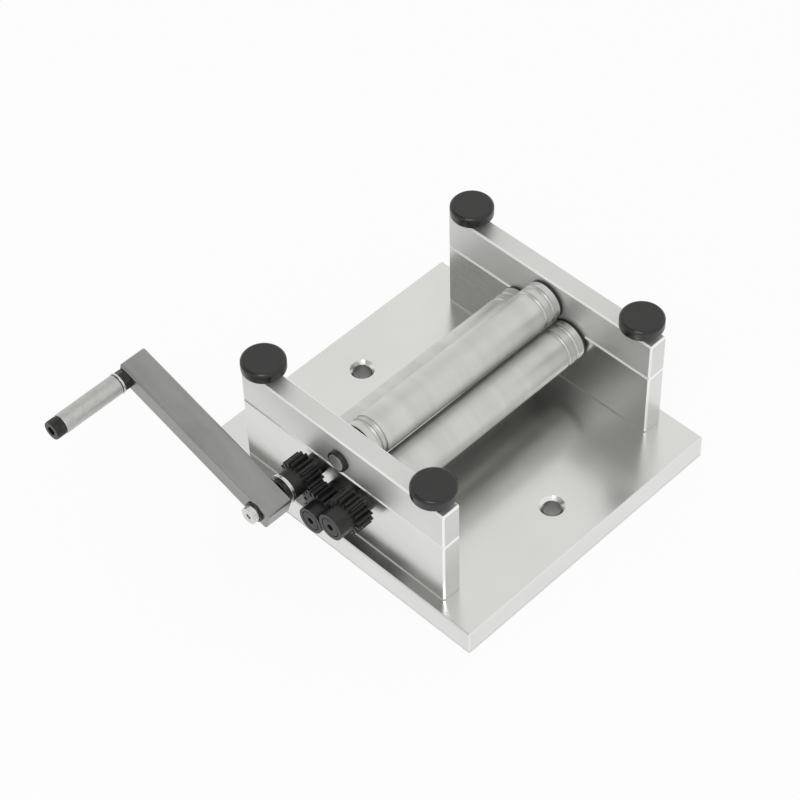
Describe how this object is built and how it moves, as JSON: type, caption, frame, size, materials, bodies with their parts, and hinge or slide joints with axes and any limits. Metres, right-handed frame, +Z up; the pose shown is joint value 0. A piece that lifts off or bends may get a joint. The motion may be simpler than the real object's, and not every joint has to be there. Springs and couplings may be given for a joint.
{
  "type": "sheet bending machine",
  "caption": "Hand cranked bench roller for bending sheet: geared lower rollers, a knob-adjusted top roller and split side plates on a flat base plate.",
  "frame": {"origin": "centre of the base plate's underside", "axes": "+X along the rollers away from the crank, +Y the way the sheet goes through, from the front roller to the back one, +Z up"},
  "size_m": [0.2216, 0.1783, 0.076],
  "materials": {
    "plate_metal": "polished to soft reflections",
    "roller_steel": "ground round, satin",
    "arm_metal": "satin grey",
    "black_plastic": "moulded, satin black",
    "bright_steel": "zinc plated, bright",
    "black_steel": "blackened",
    "spring_steel": "drawn wire"
  },
  "bodies": {
    "frame": {"base_plate": "plate_metal", "near_lower_plate": "plate_metal", "far_lower_plate": "plate_metal", "near_lower_bushes": "black_plastic", "far_lower_bushes": "black_plastic", "idler_axle": "black_steel", "near_lift_springs": "spring_steel", "far_lift_springs": "spring_steel", "near_base_screws": "black_steel", "far_base_screws": "black_steel"},
    "near_carrier": {"near_upper_plate": "plate_metal", "near_upper_bush": "black_plastic"},
    "far_carrier": {"far_upper_plate": "plate_metal", "far_upper_bush": "black_plastic"},
    "top_roller": {"top_roller": "roller_steel"},
    "front_roller": {"front_roller": "roller_steel", "front_gear": "black_plastic", "front_gear_screw": "black_steel", "front_set_screw": "black_steel"},
    "crank": {"crank_roller": "roller_steel", "crank_gear": "black_plastic", "crank_set_screw": "black_steel", "crank_washer": "bright_steel", "crank_spacer": "black_steel", "crank_arm": "arm_metal", "crank_screw": "bright_steel", "crank_end_washer": "black_steel", "handle_screw": "black_steel", "handle_nut": "black_steel", "handle_washer": "bright_steel"},
    "idler": {"idler_gear": "black_plastic"},
    "handle": {"handle_sleeve": "bright_steel"},
    "near_front_knob": {"near_front_knob": "black_plastic", "near_front_stud": "bright_steel"},
    "near_back_knob": {"near_back_knob": "black_plastic", "near_back_stud": "bright_steel"},
    "far_front_knob": {"far_front_knob": "black_plastic", "far_front_stud": "bright_steel"},
    "far_back_knob": {"far_back_knob": "black_plastic", "far_back_stud": "bright_steel"}
  },
  "joints": [
    {"name": "crank_turn", "type": "hinge", "parent": "frame", "child": "crank", "pos_m": [0, 0.0145, 0.041], "axis": [1, 0, 0], "continuous": true},
    {"name": "idler_turn", "type": "hinge", "parent": "frame", "child": "idler", "pos_m": [0, 0, 0.0312], "axis": [1, 0, 0], "continuous": true},
    {"name": "front_roller_turn", "type": "hinge", "parent": "frame", "child": "front_roller", "pos_m": [0, -0.0145, 0.041], "axis": [1, 0, 0], "continuous": true},
    {"name": "near_lift", "type": "slide", "parent": "frame", "child": "near_carrier", "axis": [0, 0, 1], "range_m": [0, 0.004], "deforming": ["near_lift_springs"]},
    {"name": "far_lift", "type": "slide", "parent": "frame", "child": "far_carrier", "axis": [0, 0, 1], "range_m": [0, 0.00401], "deforming": ["far_lift_springs"]},
    {"name": "top_roller_turn", "type": "hinge", "parent": "near_carrier", "child": "top_roller", "pos_m": [0, 0, 0.05506], "axis": [1, 0, 0], "continuous": true},
    {"name": "handle_spin", "type": "hinge", "parent": "crank", "child": "handle", "pos_m": [-0.125, 0.09244, 0.06483], "axis": [1, 0, 0], "continuous": true},
    {"name": "near_front_knob_turn", "type": "hinge", "parent": "near_carrier", "child": "near_front_knob", "pos_m": [-0.064, -0.05, 0.07], "axis": [0, 0, 1], "range_deg": [0, 1801]},
    {"name": "near_back_knob_turn", "type": "hinge", "parent": "near_carrier", "child": "near_back_knob", "pos_m": [-0.064, 0.05, 0.07], "axis": [0, 0, 1], "range_deg": [0, 1801]},
    {"name": "far_front_knob_turn", "type": "hinge", "parent": "far_carrier", "child": "far_front_knob", "pos_m": [0.064, -0.05, 0.07], "axis": [0, 0, 1], "range_deg": [0, 1801]},
    {"name": "far_back_knob_turn", "type": "hinge", "parent": "far_carrier", "child": "far_back_knob", "pos_m": [0.064, 0.05, 0.07], "axis": [0, 0, 1], "range_deg": [0, 1801]}
  ],
  "couplings": [
    {"joint": "idler_turn", "follows": "crank_turn", "ratio": -0.84211},
    {"joint": "front_roller_turn", "follows": "crank_turn", "ratio": 1},
    {"joint": "far_lift", "follows": "near_lift", "ratio": 1},
    {"joint": "near_front_knob_turn", "follows": "near_lift", "rad_per_m": 7854},
    {"joint": "near_back_knob_turn", "follows": "near_lift", "rad_per_m": 7854},
    {"joint": "far_front_knob_turn", "follows": "near_lift", "rad_per_m": 7854},
    {"joint": "far_back_knob_turn", "follows": "near_lift", "rad_per_m": 7854}
  ]
}
